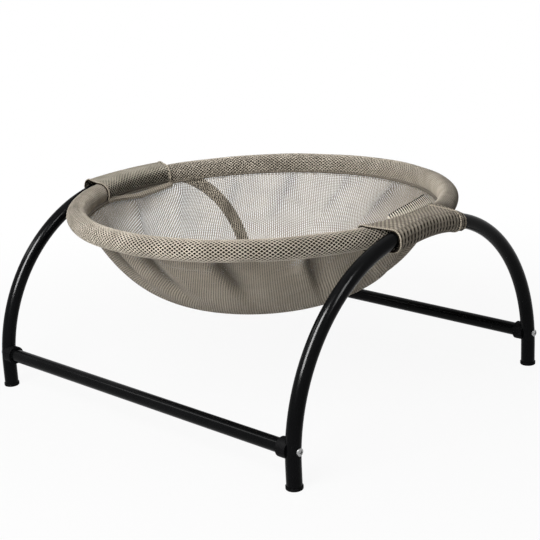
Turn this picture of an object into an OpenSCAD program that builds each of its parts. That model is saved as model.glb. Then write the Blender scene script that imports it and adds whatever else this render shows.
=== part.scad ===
// Free-standing cat hammock: two bent steel arches, two crossbars, and a mesh bowl
// on a hoop that hangs between the arches in two fabric sleeves.
// Frame: origin on the floor under the middle of the rim, +X from the left arch to the
// right arch, +Y from front to back, +Z up. Millimetres.

/* [Arches] */
// Distance between the planes of the two arches
arch_spacing = 451.4; // [430:0.1:470]
// Distance between the two legs of one arch
leg_spacing = 410.8; // [395:0.1:425]
// Height of the tube axis at the crest of an arch
crest_z = 213.2; // [205:0.1:222]
// How much larger the bend radius is at the crest than at the shoulders
crest_extra_r = 73; // [55:1:90]
// Outer diameter of the arch tube
tube_d = 16; // [14:0.1:18]
// Wall of the arch tube
tube_wall = 1.2; // [0.8:0.1:2]

/* [Crossbars] */
// Outer diameter of a crossbar
bar_d = 15; // [13:0.1:16]
// Wall of a crossbar
bar_wall = 1.2; // [0.8:0.1:2]
// Height of the crossbar axis
bar_z = 40; // [34:0.5:60]

/* [Crossbar fittings] */
// Outer diameter of the saddle collar between crossbar and leg
saddle_d = 20.5; // [19:0.1:24]
// Length of the collar beyond the face of the leg
saddle_len = 6.5; // [5.5:0.5:14]
// Thickness of the collar between the leg and the end of the bar
saddle_web = 3; // [2:0.5:5]
// Distance from the leg axis at which the horns of the collar start
saddle_horn = 2.5; // [1:0.5:5]
// Length of the threaded insert inside each bar end
insert_len = 20; // [16:1:30]
// Thread diameter of the frame screws
screw_d = 4; // [3:0.5:5]
// Length of the screw under its head
screw_len = 34; // [30:1:40]
// Diameter of the screw head
head_d = 8; // [7:0.1:10]
// Height of the screw head
head_h = 2.6; // [2:0.1:3.5]
// Radius of the dome of the screw head
head_dome_r = 6.5; // [5.5:0.1:12]
// Arm length of the cross recess, tip to tip
recess_len = 4.6; // [3:0.1:5]
// Arm width of the cross recess
recess_w = 1; // [0.6:0.1:1.4]
// Depth of the cross recess
recess_depth = 1.5; // [0.8:0.1:1.8]

/* [Foot caps] */
// Diameter of the flange that stands on the floor
cap_d = 17.6; // [17:0.1:22]
// Height of the flange
cap_h = 3.6; // [2.5:0.1:6]
// Rounding of the lower edge of the flange
cap_round = 1.2; // [0.5:0.1:2]
// Length of the plug inside the leg
plug_len = 14; // [8:0.5:16]
// Wall of the hollow plug
plug_wall = 1.8; // [1:0.1:3]

/* [Hoop and rim] */
// Height of the rim below the crest of the arches, axis to axis
rim_drop = 3.4; // [2:0.1:8]
// How far the middle of the rim lies behind the middle of the arches
rim_back = 4.2; // [0:0.1:8]
// Gap between the rim and the inner face of the arch tube, seen from above
rim_side_gap = 0.4; // [0.3:0.1:4]
// How far the padded rim is pressed flat beside the arch tubes
rim_press = 3.9; // [2:0.1:4]
// Outer diameter of the hoop tube
hoop_d = 13; // [11:0.1:14]
// Wall of the hoop tube
hoop_wall = 1.2; // [0.8:0.1:2]
// Gap between the two ends of the hoop
hoop_end_gap = 0.8; // [0.2:0.1:2]
// Length of the joiner inside the two hoop ends
joiner_len = 70; // [40:1:120]
// Thickness of the padded mesh rolled round the hoop
cover_t = 4.8; // [4.6:0.1:6]

/* [Bowl] */
// Distance from the hoop axis in to the top of the bowl wall
bowl_inset = 12.5; // [10:0.5:15]
// Distance from the hoop axis down to the top of the bowl wall
bowl_top_drop = 14.5; // [12:0.5:17]
// Depth of the bowl below the top of its wall
bowl_depth = 96.5; // [80:0.5:115]
// Share of the depth that follows a parabola, the rest is flatter with steep sides
bowl_roundness = 0.2; // [0:0.05:0.6]
// How far the bottom of the bowl hangs in front of the middle of the rim
bowl_forward = 7; // [0:0.5:10]
// Thickness of the bowl mesh
bowl_t = 2; // [1:0.1:3]
// Number of gathers round the bowl
fold_count = 16; // [12:1:16]
// Depth of a gather
fold_depth = 7; // [2:0.5:10]
// Direction of the first gather, in degrees from +X
fold_first = 8; // [0:1:30]
// Width of the tape along the rim seam
tape_w = 7; // [4:0.5:9]
// Thickness of the tape
tape_t = 1; // [0.5:0.1:1.5]

/* [Sleeves] */
// Thickness of the sleeve mesh
sleeve_t = 2; // [1:0.1:3]
// Length of a sleeve along the arch
sleeve_len = 120; // [90:1:125]
// Front end of the left sleeve at the rim
left_front = -79; // [-85:1:-40]
// How far the left sleeve is drawn backwards at the arch tube
left_skew = 12; // [0:1:25]
// Front end of the right sleeve at the rim
right_front = -64; // [-70:1:-40]
// How far the right sleeve is drawn backwards at the arch tube
right_skew = 13; // [0:1:25]
// Room above the tube at the crest
roof_gap = 1.35; // [1.3:0.05:1.8]
// Room beside the tube
side_gap = 1.2; // [0.5:0.1:3]
// Slack of the sleeve under the tube
floor_slack = 6.3; // [6.2:0.1:9]
// Width of the hem strip inside the bowl
hem_w = 7; // [4:0.5:10]
// Thickness of the folded hem strip
hem_t = 2.2; // [1:0.1:3]

/* [Clearances] */
// Gap between parts that slide into each other
slide_gap = 0.15; // [0.05:0.05:0.3]
// Gap round the screw thread in its insert
thread_gap = 0.05; // [0.02:0.01:0.1]
// Gap round the screw in the leg and the collar
screw_gap = 0.25; // [0.1:0.05:0.5]
// Gap between the collar and the leg it straddles
saddle_gap = 0.1; // [0.05:0.05:0.3]
// Gap between sewn layers
fabric_gap = 0.3; // [0.2:0.05:0.5]

/* [Hidden] */
$fn = 64;
past = 1;

paint = "#17181a";
plastic = "#232325";
zinc = "#c9cbcc";
mesh_cloth = "#938a7d";
mesh_dark = "#5d564c";

left = -1;
right = 1;
front = -1;
rear = 1;

// Arch: straight legs, two shoulder bends and a flatter crest, all tangent. The bends
// meet on a line of slope 24 to 7 and places are kept to hundredths, so they meet exactly.
tube_r = tube_d / 2;
arch_x = arch_spacing / 2;
arch_y = -rim_back;
joint_run = 7 / 25;
joint_rise = 24 / 25;
joint_angle = acos(joint_run);
sweep_past = 2;
joint_turn = [
  [joint_run, -joint_rise, 0, 0],
  [joint_rise, joint_run, 0, 0],
  [0, 0, 1, 0],
  [0, 0, 0, 1]
];
leg_y = round(leg_spacing * 50) / 100;
crest_axis_z = round(crest_z * 100) / 100;
bend_step = round(crest_extra_r * 10) / 10;
shoulder_r = leg_y - joint_run * bend_step;
crest_r = shoulder_r + bend_step;
crest_centre_z = crest_axis_z - crest_r;
leg_straight = crest_centre_z + joint_rise * bend_step;

// Height of the tube axis over the place y.
function crest_height(y) = crest_centre_z + sqrt(crest_r * crest_r - pow(y - arch_y, 2));

// The legs lean in slightly where the crossbars meet them.
bar_lean = max(0, bar_z - leg_straight);
bar_y = leg_y - shoulder_r + sqrt(shoulder_r * shoulder_r - bar_lean * bar_lean);
bar_end = arch_x - tube_r - saddle_web;
insert_d = bar_d - 2 * bar_wall - 2 * slide_gap;
screw_hole_d = screw_d + 2 * screw_gap;
plug_d = tube_d - 2 * tube_wall - 2 * slide_gap;

// Rim: the hoop with its rolled cover, pressed flat where the two arch tubes pass it.
hoop_r = hoop_d / 2;
cover_in_r = hoop_r + fabric_gap;
cover_r = cover_in_r + cover_t;
rim_flat_x = arch_x - tube_r - rim_side_gap;
rim_r = rim_flat_x + rim_press - cover_r;
flat_turn = acos((rim_flat_x - cover_r) / rim_r);
rim_z = crest_axis_z - rim_drop;
joiner_d = hoop_d - 2 * hoop_wall - 2 * slide_gap;

// Seam: the bowl edge runs straight from the top of the wall to the hoop.
bowl_r = rim_r - bowl_inset;
bowl_top_z = rim_z - bowl_top_drop;
seam_angle = atan2(bowl_top_drop, bowl_inset);
tape_offset = bowl_t / 2 + fabric_gap;
hem_offset = tape_offset + tape_t + fabric_gap;

// Bowl profile: radius share s from 0 at the middle to 1 at the top of the wall.
bowl_power = 4;
ring_count = 8;
fold_facets = 4;
spoke_count = fold_facets * fold_count;
fold_reach = 0.5;

function profile_share(s) = bowl_roundness * s * s + (1 - bowl_roundness) * pow(s, bowl_power);
function profile_z(s) = bowl_top_z - bowl_depth * (1 - profile_share(s));
function profile_slope(s) = atan(bowl_depth / bowl_r
  * (2 * bowl_roundness * s + bowl_power * (1 - bowl_roundness) * pow(s, bowl_power - 1)));
function fold_fade(s) = s <= fold_reach ? 0 : pow(sin(180 * (1 - s) / (1 - fold_reach)), 2);
function fold_wave(a) = pow((1 + cos(fold_count * (a - fold_first))) / 2, 2);
function bowl_shift(s) = [0, bowl_forward * (pow(s, bowl_power) - 1), 0];

function polar(d, z, a) = [d * cos(a), d * sin(a), z];

// Point of the bowl wall at radius share s and direction a, moved off its middle
// layer by half, towards the inside of the bowl.
function wall_point(s, a, half) =
  let (
    tilt = profile_slope(s),
    tuck = fold_depth * fold_fade(s) * fold_wave(a)
  )
  polar(bowl_r * s - tuck - half * sin(tilt), profile_z(s) + half * cos(tilt), a) + bowl_shift(s);

// Point in the seam plane, out from the hoop axis along the seam and off its middle.
function seam_point(out, off) = [
  rim_r - out * cos(seam_angle) - off * sin(seam_angle),
  rim_z - out * sin(seam_angle) + off * cos(seam_angle)
];

function bowl_side(half) = concat(
  [[0, 0, profile_z(0) + half] + bowl_shift(0)],
  [for (j = [1:ring_count], i = [0:spoke_count - 1])
    wall_point(sqrt(j / ring_count), fold_first + 360 * i / spoke_count, half)],
  [for (i = [0:spoke_count - 1])
    let (p = seam_point(hoop_r + 2 * fabric_gap, half))
    polar(p[0], p[1], fold_first + 360 * i / spoke_count)]
);

// Triangles of one side of the bowl, whose points start at index base.
function bowl_skin(base, flip) =
  let (
    n = spoke_count,
    fan = [for (i = [0:n - 1]) [base, base + 1 + i, base + 1 + (i + 1) % n]],
    bands = [for (j = [0:ring_count - 1], i = [0:n - 1], half = [0, 1])
      let (
        a = base + 1 + j * n + i,
        b = base + 1 + j * n + (i + 1) % n
      )
      half == 0 ? [a, a + n, b + n] : [a, b + n, b]],
    skin = concat(fan, bands)
  )
  flip ? [for (f = skin) [f[0], f[2], f[1]]] : skin;

// Triangles that close the top edge between two equal sides.
function bowl_edge(size) =
  let (
    n = spoke_count,
    first = 1 + ring_count * n
  )
  [for (i = [0:n - 1], half = [0, 1])
    let (
      a = first + i,
      b = first + (i + 1) % n
    )
    half == 0 ? [a, a + size, b + size] : [a, b + size, b]];

// Sleeve: a band from the inner side of the rim seam over rim and tube and back to
// the outer side of the seam, ending a few degrees clear of it. It follows the outline
// of three circles: the rim, the tube at the roof, and the tube at the slack floor.
sleeve_stations = 10;
sleeve_step = 12;
sleeve_in_r = cover_r + fabric_gap;
loop_r = tube_r + side_gap;
roof_z = crest_axis_z + roof_gap - side_gap;
inner_clear = 14;
outer_clear = 11;
inner_stop = 180 + seam_angle - inner_clear;
outer_stop = seam_angle - 180 + outer_clear;
sleeve_turn = inner_stop - outer_stop;
sleeve_points = ceil(sleeve_turn / sleeve_step);

// Reach of a circle at height z in direction a.
function reach(x, z, r, a) = x * cos(a) + z * sin(a) + r;

// Point of the sleeve's outline in direction a, where y_rim and y_tube are the places
// of this station at the rim and at the tube, and grow is the offset for thickness.
function sleeve_point(side, y_rim, y_tube, a, grow) =
  let (
    turn = asin(y_rim / rim_r),
    x_rim = rim_r * cos(turn),
    floor_z = crest_height(y_tube) - floor_slack + side_gap,
    at_rim = reach(x_rim, rim_z, sleeve_in_r, a),
    at_roof = reach(arch_x, roof_z, loop_r, a),
    at_floor = reach(arch_x, floor_z, loop_r, a),
    out_rim = sleeve_in_r + grow,
    out_tube = loop_r + grow,
    p = at_rim >= max(at_roof, at_floor)
      ? polar(rim_r + out_rim * cos(a), rim_z + out_rim * sin(a), turn)
      : [arch_x + out_tube * cos(a), y_tube,
         (at_roof >= at_floor ? roof_z : floor_z) + out_tube * sin(a)]
  )
  [side * p[0], p[1], p[2]];

function sleeve_side(side, start, skew, grow) = [
  for (i = [0:sleeve_stations], j = [0:sleeve_points])
    let (y = start + sleeve_len * i / sleeve_stations)
    sleeve_point(side, y, y + skew, inner_stop - sleeve_turn * j / sleeve_points, grow)
];

// Two triangles over each quad of a chain of index pairs.
function strip(pairs, flip) = [
  for (k = [0:len(pairs) - 2], half = [0, 1])
    let (
      a = pairs[k],
      b = pairs[k + 1],
      f = half == 0 ? [a[0], a[1], b[1]] : [a[0], b[1], b[0]]
    )
    flip ? [f[0], f[2], f[1]] : f
];

// Closed band: two grids of points, wide by long, joined along all four edges.
function band_faces(wide, long) =
  let (
    size = (wide + 1) * (long + 1),
    rows = [for (i = [0:long]) [for (j = [0:wide]) i * (wide + 1) + j]],
    skin = function (base, flip) [for (i = [0:long - 1], f = strip(
      [for (j = [0:wide]) [base + rows[i][j], base + rows[i + 1][j]]], flip)) f]
  )
  concat(
    skin(0, true),
    skin(size, false),
    strip([for (j = [0:wide]) [rows[0][j], rows[0][j] + size]], false),
    strip([for (j = [0:wide]) [rows[long][j], rows[long][j] + size]], true),
    strip([for (i = [0:long]) [rows[i][0], rows[i][0] + size]], true),
    strip([for (i = [0:long]) [rows[i][wide], rows[i][wide] + size]], false)
  );

// Sweeps a flat section along the axis of an arch, from the height low upwards. The bends
// start at the line on which they meet, and are cut at the middle and at the straight leg.
module arch_sweep(side, low) {
  translate([side * arch_x, arch_y, 0])
    rotate([90, 0, 90])
      for (end = [0, 1])
        mirror([end, 0, 0]) {
          translate([0, crest_centre_z, 0])
            difference() {
              multmatrix(joint_turn)
                rotate_extrude(angle = 90 - joint_angle + sweep_past)
                  translate([crest_r, 0])
                    children();
              translate([-2 * crest_r, 0, -tube_d])
                cube([2 * crest_r, 2 * crest_r, 2 * tube_d]);
            }
          translate([leg_y - shoulder_r, leg_straight, 0])
            difference() {
              multmatrix(joint_turn)
                mirror([0, 1, 0])
                  rotate_extrude(angle = joint_angle + sweep_past)
                    translate([shoulder_r, 0])
                      children();
              translate([0, -2 * crest_r, -tube_d])
                cube([2 * crest_r, 2 * crest_r, 2 * tube_d]);
            }
          translate([leg_y, low, 0])
            rotate([-90, 0, 0])
              linear_extrude(leg_straight - low)
                children();
        }
}

// Places its children at a crossbar end, with Z from the leg axis along the bar.
module at_bar_end(side, end) {
  translate([side * arch_x, arch_y + end * bar_y, bar_z])
    rotate([0, -90 * side, 0])
      children();
}

module arch_tube(side) {
  color(paint)
    difference() {
      arch_sweep(side, cap_h)
        difference() {
          circle(tube_r);
          circle(tube_r - tube_wall);
        }
      for (end = [front, rear])
        at_bar_end(side, end)
          cylinder(d = screw_hole_d, h = 2 * tube_d, center = true);
    }
}

module crossbar(end) {
  color(paint)
    translate([0, arch_y + end * bar_y, bar_z])
      rotate([0, 90, 0])
        difference() {
          cylinder(d = bar_d, h = 2 * bar_end, center = true);
          cylinder(d = bar_d - 2 * bar_wall, h = 2 * bar_end + 2 * past, center = true);
        }
}

module saddle(side, end) {
  color(plastic)
    difference() {
      at_bar_end(side, end)
        difference() {
          translate([0, 0, saddle_horn])
            cylinder(d = saddle_d, h = tube_r + saddle_len - saddle_horn);
          translate([0, 0, tube_r + saddle_web])
            cylinder(d = bar_d + 2 * slide_gap, h = saddle_len);
          cylinder(d = screw_hole_d, h = tube_r + saddle_len);
        }
      arch_sweep(side, cap_h)
        circle(tube_r + saddle_gap);
    }
}

module insert(side, end) {
  color(zinc)
    at_bar_end(side, end)
      translate([0, 0, tube_r + saddle_web])
        difference() {
          cylinder(d = insert_d, h = insert_len);
          translate([0, 0, -past])
            cylinder(d = screw_d + 2 * thread_gap, h = insert_len + 2 * past);
        }
}

module screw(side, end) {
  color(zinc)
    at_bar_end(side, end)
      translate([0, 0, -tube_r])
        difference() {
          union() {
            cylinder(d = screw_d, h = screw_len);
            translate([0, 0, -head_h])
              rotate_extrude()
                intersection() {
                  square([head_d / 2, head_h]);
                  translate([0, head_dome_r])
                    circle(head_dome_r);
                }
          }
          for (turn = [0, 90])
            rotate(turn)
              translate([-recess_len / 2, -recess_w / 2, -head_h - past])
                cube([recess_len, recess_w, recess_depth + past]);
        }
}

module foot_cap(side, end) {
  color(plastic)
    translate([side * arch_x, arch_y + end * leg_y, 0])
      rotate_extrude()
        difference() {
          union() {
            square([cap_d / 2 - cap_round, cap_h]);
            translate([0, cap_round])
              square([cap_d / 2, cap_h - cap_round]);
            translate([cap_d / 2 - cap_round, cap_round])
              circle(cap_round);
            square([plug_d / 2, cap_h + plug_len]);
          }
          translate([0, cap_h])
            square([plug_d / 2 - plug_wall, plug_len + past]);
          translate([-cap_d, -past])
            square([cap_d, cap_h + plug_len + 2 * past]);
        }
}

module rim_hoop() {
  gap_turn = hoop_end_gap / rim_r * 180 / PI;
  color(paint)
    translate([0, 0, rim_z])
      rotate(gap_turn / 2)
        rotate_extrude(angle = 360 - gap_turn)
          translate([rim_r, 0])
            difference() {
              circle(hoop_r);
              circle(hoop_r - hoop_wall);
            }
}

module rim_hoop_joiner() {
  turn = joiner_len / rim_r * 180 / PI;
  color(zinc)
    translate([0, 0, rim_z])
      rotate(-turn / 2)
        rotate_extrude(angle = turn)
          translate([rim_r, 0])
            circle(d = joiner_d);
}

module rim_cover() {
  slot_w = bowl_t + 2 * fabric_gap;
  color(mesh_cloth)
    translate([0, 0, rim_z])
      difference() {
        rotate(90)
          rotate_extrude()
            translate([rim_r, 0])
              difference() {
                circle(cover_r);
                circle(cover_in_r);
                rotate(180 + seam_angle)
                  translate([0, -slot_w / 2])
                    square([cover_r + past, slot_w]);
              }
        for (turn = [0, 180])
          rotate(turn - flat_turn)
            rotate_extrude(angle = 2 * flat_turn)
              translate([rim_flat_x, -cover_r - past])
                square([cover_r, 2 * cover_r + 2 * past]);
      }
}

// Ring or part ring that lies on the inside of the seam, from one reach to another.
module seam_strip(near, wide, off, thick) {
  polygon([
    seam_point(near, off), seam_point(near + wide, off),
    seam_point(near + wide, off + thick), seam_point(near, off + thick)
  ]);
}

module rim_seam_tape() {
  color(mesh_dark)
    rotate_extrude()
      seam_strip(cover_r + fabric_gap, tape_w, tape_offset, tape_t);
}

module bowl_mesh() {
  outer = bowl_side(-bowl_t / 2);
  inner = bowl_side(bowl_t / 2);
  size = len(outer);
  color(mesh_cloth)
    polyhedron(
      concat(outer, inner),
      concat(bowl_skin(0, false), bowl_skin(size, true), bowl_edge(size))
    );
}

module sleeve(side, start, skew) {
  inside = sleeve_side(side, start, skew, 0);
  outside = sleeve_side(side, start, skew, sleeve_t);
  faces = band_faces(sleeve_points, sleeve_stations);
  color(mesh_cloth)
    polyhedron(
      concat(inside, outside),
      side == right ? faces : [for (f = faces) [f[0], f[2], f[1]]]
    );
}

module sleeve_hem(side, start) {
  from = asin(start / rim_r);
  turn = asin((start + sleeve_len) / rim_r) - from;
  color(mesh_dark)
    mirror([side == left ? 1 : 0, 0, 0])
      rotate(from)
        rotate_extrude(angle = turn)
          seam_strip(sleeve_in_r + sleeve_t, hem_w, hem_offset, hem_t);
}

arch_tube(left);  // left_arch_tube
arch_tube(right);  // right_arch_tube
crossbar(front);  // front_crossbar
crossbar(rear);  // rear_crossbar
saddle(left, front);  // front_left_saddle
saddle(right, front);  // front_right_saddle
saddle(left, rear);  // rear_left_saddle
saddle(right, rear);  // rear_right_saddle
insert(left, front);  // front_left_insert
insert(right, front);  // front_right_insert
insert(left, rear);  // rear_left_insert
insert(right, rear);  // rear_right_insert
screw(left, front);  // front_left_screw
screw(right, front);  // front_right_screw
screw(left, rear);  // rear_left_screw
screw(right, rear);  // rear_right_screw
foot_cap(left, front);  // front_left_foot_cap
foot_cap(right, front);  // front_right_foot_cap
foot_cap(left, rear);  // rear_left_foot_cap
foot_cap(right, rear);  // rear_right_foot_cap
rim_hoop();
rim_hoop_joiner();
rim_cover();
rim_seam_tape();
bowl_mesh();
sleeve(left, left_front, left_skew);  // left_sleeve
sleeve(right, right_front, right_skew);  // right_sleeve
sleeve_hem(left, left_front);  // left_sleeve_hem
sleeve_hem(right, right_front);  // right_sleeve_hem
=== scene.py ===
import math

import bpy
import numpy as np
from mathutils import Matrix, Vector


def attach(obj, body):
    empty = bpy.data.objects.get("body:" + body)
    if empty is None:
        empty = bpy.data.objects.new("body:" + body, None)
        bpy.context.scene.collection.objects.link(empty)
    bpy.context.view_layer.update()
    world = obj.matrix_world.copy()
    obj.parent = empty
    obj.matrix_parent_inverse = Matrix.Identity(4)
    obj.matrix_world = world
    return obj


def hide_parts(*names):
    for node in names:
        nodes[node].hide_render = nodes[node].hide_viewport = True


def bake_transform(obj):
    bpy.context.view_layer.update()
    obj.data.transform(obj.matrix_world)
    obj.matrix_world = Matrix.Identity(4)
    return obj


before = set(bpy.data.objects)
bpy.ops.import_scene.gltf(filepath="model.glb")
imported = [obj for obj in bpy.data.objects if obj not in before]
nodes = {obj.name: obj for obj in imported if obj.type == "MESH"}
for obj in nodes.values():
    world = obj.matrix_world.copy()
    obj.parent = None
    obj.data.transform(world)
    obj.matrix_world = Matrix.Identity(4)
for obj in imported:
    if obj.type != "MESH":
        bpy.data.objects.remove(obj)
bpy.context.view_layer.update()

MM = 0.001
TAU = 2 * math.pi

# Sizes of the CAD model, in millimetres.
ARCH_X = 225.7
ARCH_Y = -4.2
CREST_Z = 213.2
CREST_R = 257.96
TUBE_R = 8.0
RIM_R = 209.6
RIM_Z = 209.8
COVER_R = 11.6
RIM_FLAT_X = 217.3
BOWL_R = 197.1
BOWL_TOP_Z = 195.3
BOWL_DEPTH = 96.5
BOWL_ROUNDNESS = 0.2
BOWL_FORWARD = 7.0
# The seam runs straight from the hoop's axis to the bowl's edge, this far down and in.
SEAM_DROP = 14.5
SEAM_INSET = 12.5
SEAM_ANGLE = math.atan2(SEAM_DROP, SEAM_INSET)
# Directions round the hoop's axis where a sleeve's loop starts and ends, beside the seam.
SLEEVE_END_INNER = math.pi + SEAM_ANGLE - math.radians(14)
SLEEVE_END_OUTER = SEAM_ANGLE - math.pi + math.radians(11)


# Materials

WHITE = (1.0, 1.0, 1.0, 1.0)


class Shader:
    """A small helper that fills the empty node tree of a material or a world."""

    def __init__(self, owner, output="OutputMaterial"):
        owner.use_nodes = True
        self.owner = owner
        self.tree = owner.node_tree
        self.tree.nodes.clear()
        self.out = self.add(output)

    def add(self, kind, inputs=None, **settings):
        node = self.tree.nodes.new("ShaderNode" + kind)
        for key, value in settings.items():
            setattr(node, key, value)
        for key, value in (inputs or {}).items():
            self.put(node.inputs[key], value)
        return node

    def put(self, socket, value):
        if isinstance(value, bpy.types.NodeSocket):
            self.tree.links.new(value, socket)
        else:
            socket.default_value = value

    def math(self, operation, a, b=0.0, c=0.0):
        return self.add("Math", {0: a, 1: b, 2: c}, operation=operation).outputs[0]

    def wave(self, value, pitch):
        return self.math("COSINE", self.math("MULTIPLY", value, TAU / pitch))

    def mix(self, share, a, b):
        node = self.add("Mix", {"Factor": share}, data_type="RGBA")
        self.put(node.inputs[6], a)
        self.put(node.inputs[7], b)
        return node.outputs[2]

    def span(self, value, lo, hi, to_lo=0.0, to_hi=1.0):
        inputs = {"Value": value, "From Min": lo, "From Max": hi, "To Min": to_lo, "To Max": to_hi}
        return self.add("MapRange", inputs, interpolation_type="SMOOTHSTEP").outputs[0]

    def noise(self, where, scale, detail=2.0, roughness=0.5):
        inputs = {"Vector": where, "Scale": scale, "Detail": detail, "Roughness": roughness}
        return self.add("TexNoise", inputs).outputs["Fac"]

    def bump(self, height, distance, strength=1.0):
        inputs = {"Height": height, "Distance": distance, "Strength": strength}
        return self.add("Bump", inputs).outputs[0]

    def place(self):
        return self.add("TexCoord").outputs["Object"]

    def weave(self):
        """The cloth's own flat places, in millimetres along it and across it."""
        flat = self.add("UVMap", uv_map="weave").outputs[0]
        return self.add("SeparateXYZ", {0: flat}).outputs[:2]

    def value(self, name):
        return self.add("Attribute", attribute_name=name).outputs["Fac"]

    def seen(self):
        """1 for rays that the eye follows: direct, mirrored or through something clear."""
        path = self.add("LightPath").outputs
        seen = path["Is Camera Ray"]
        for kind in ("Is Glossy Ray", "Is Transmission Ray"):
            seen = self.math("MAXIMUM", seen, path[kind])
        return seen

    def principled(self, inputs):
        node = self.add("BsdfPrincipled", inputs)
        self.put(self.out.inputs["Surface"], node.outputs[0])
        return node

    def blend(self, share, first, second):
        """The surface is the node first where share is 0, and second where it is 1."""
        inputs = {"Fac": share, 1: first.outputs[0], 2: second.outputs[0]}
        self.put(self.out.inputs["Surface"], self.add("MixShader", inputs).outputs[0])


def scaled(colour, share):
    return tuple(c * share for c in colour[:3]) + (1.0,)


def paint_material(name, colour):
    """Satin black paint over steel: faint orange peel and an uneven gloss."""
    s = Shader(bpy.data.materials.new(name))
    where = s.place()
    peel = s.noise(where, 620.0, 2.0)
    cloudy = s.noise(where, 26.0, 3.0)
    s.principled({
        "Base Color": s.mix(s.span(cloudy, 0.3, 0.7), colour, scaled(colour, 1.5)),
        "Roughness": s.span(cloudy, 0.3, 0.7, 0.17, 0.20),
        "Specular IOR Level": 0.04,
        "Normal": s.bump(peel, 0.00002, 0.03),
    })
    return s.owner


def plastic_material(name, colour):
    """Moulded black plastic: fine spark-eroded grain and slight scuffs."""
    s = Shader(bpy.data.materials.new(name))
    where = s.place()
    grain = s.noise(where, 2400.0, 3.0, 0.6)
    scuff = s.span(s.noise(where, 190.0, 4.0, 0.7), 0.55, 0.72)
    s.principled({
        "Base Color": s.mix(scuff, colour, scaled(colour, 2.2)),
        "Roughness": s.span(grain, 0.3, 0.7, 0.38, 0.52),
        "Specular IOR Level": 0.015,
        "Normal": s.bump(grain, 0.00006, 0.5),
    })
    return s.owner


def metal_material(name, colour, rough, line_scale):
    """Plated or drawn steel with fine tool lines and a cloudy film."""
    s = Shader(bpy.data.materials.new(name))
    where = s.place()
    stretch = s.add("Mapping", {"Vector": where, "Scale": (line_scale, 1.0, 1.0)}).outputs[0]
    lines = s.noise(stretch, 260.0, 4.0, 0.6)
    film = s.noise(where, 420.0, 2.0)
    s.principled({
        "Base Color": s.mix(s.span(film, 0.35, 0.75), colour, scaled(colour, 0.72)),
        "Metallic": 1.0,
        "Roughness": s.span(lines, 0.25, 0.75, rough * 0.7, rough * 1.35),
        "Normal": s.bump(lines, 0.00003, 0.35),
    })
    return s.owner


TAUPE = (0.50, 0.44, 0.355, 1.0)
TAUPE_DEEP = (0.36, 0.315, 0.25, 1.0)
# Near black: painted shade deep in the mesh's cells, whose floors stand also for its lower layer.
PIT = (0.010, 0.0085, 0.0065, 1.0)
THREAD = (0.20, 0.176, 0.142, 1.0)
# Noise of the yarn's fibres: scale, detail and roughness.
FIBRES = (1900.0, 3.0, 0.65)
# The colour between ribs, painted shade in the furrows, as a share of the deep colour, and the
# width over which ribs turn.
FURROW_SHADE = 0.42
SLANT_EASE = 9.0


def cloth_shader(s, colour, yarn, lift, distance):
    return s.principled({
        "Base Color": colour,
        "Roughness": s.span(yarn, 0.2, 0.8, 0.80, 0.95),
        "Specular IOR Level": 0.0,
        "Sheen Weight": 0.10,
        "Sheen Roughness": 0.45,
        "Normal": s.bump(lift, distance, 0.6),
    })


def strand_material(name, light, deep, pit, ribs=None):
    """Air mesh: knitted yarn on top, open cells below. The mesh's own "pit" value says how dark a
    point is painted: painted shade down the walls and on the floor of a cell, whose floor stands
    also for the mesh's dark lower layer, and darker yarns where it is given on them. ribs: their
    pitch, the place across the cloth from where they run straight, and how much they slant
    before it."""
    s = Shader(bpy.data.materials.new(name))
    where = s.place()
    blotch = s.noise(where, 45.0, 3.0)
    yarn = s.noise(where, *FIBRES)
    cloth = s.mix(s.span(blotch, 0.3, 0.7), light, deep)
    cloth = s.mix(s.span(yarn, 0.35, 0.75, 0.0, 0.5), cloth, deep)
    if ribs:
        pitch, straight, slant = ribs
        along, across = s.weave()
        before = s.math("SMOOTH_MAX", s.math("SUBTRACT", straight, across), 0.0, SLANT_EASE)
        rib = s.wave(s.math("SUBTRACT", along, s.math("MULTIPLY", before, slant)), pitch)
        # Painted shade in the furrows between the ribs.
        cloth = s.mix(s.span(rib, 0.7, -0.7, 0.0, 0.8), cloth, scaled(deep, FURROW_SHADE))
    # Painted shade in the cells, and on the yarns, by the mesh's "pit" value.
    cloth = s.mix(s.span(s.value("pit"), 0.15, 0.95), cloth, pit)
    cloth_shader(s, cloth, yarn, yarn, 0.0003)
    return s.owner


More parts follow.
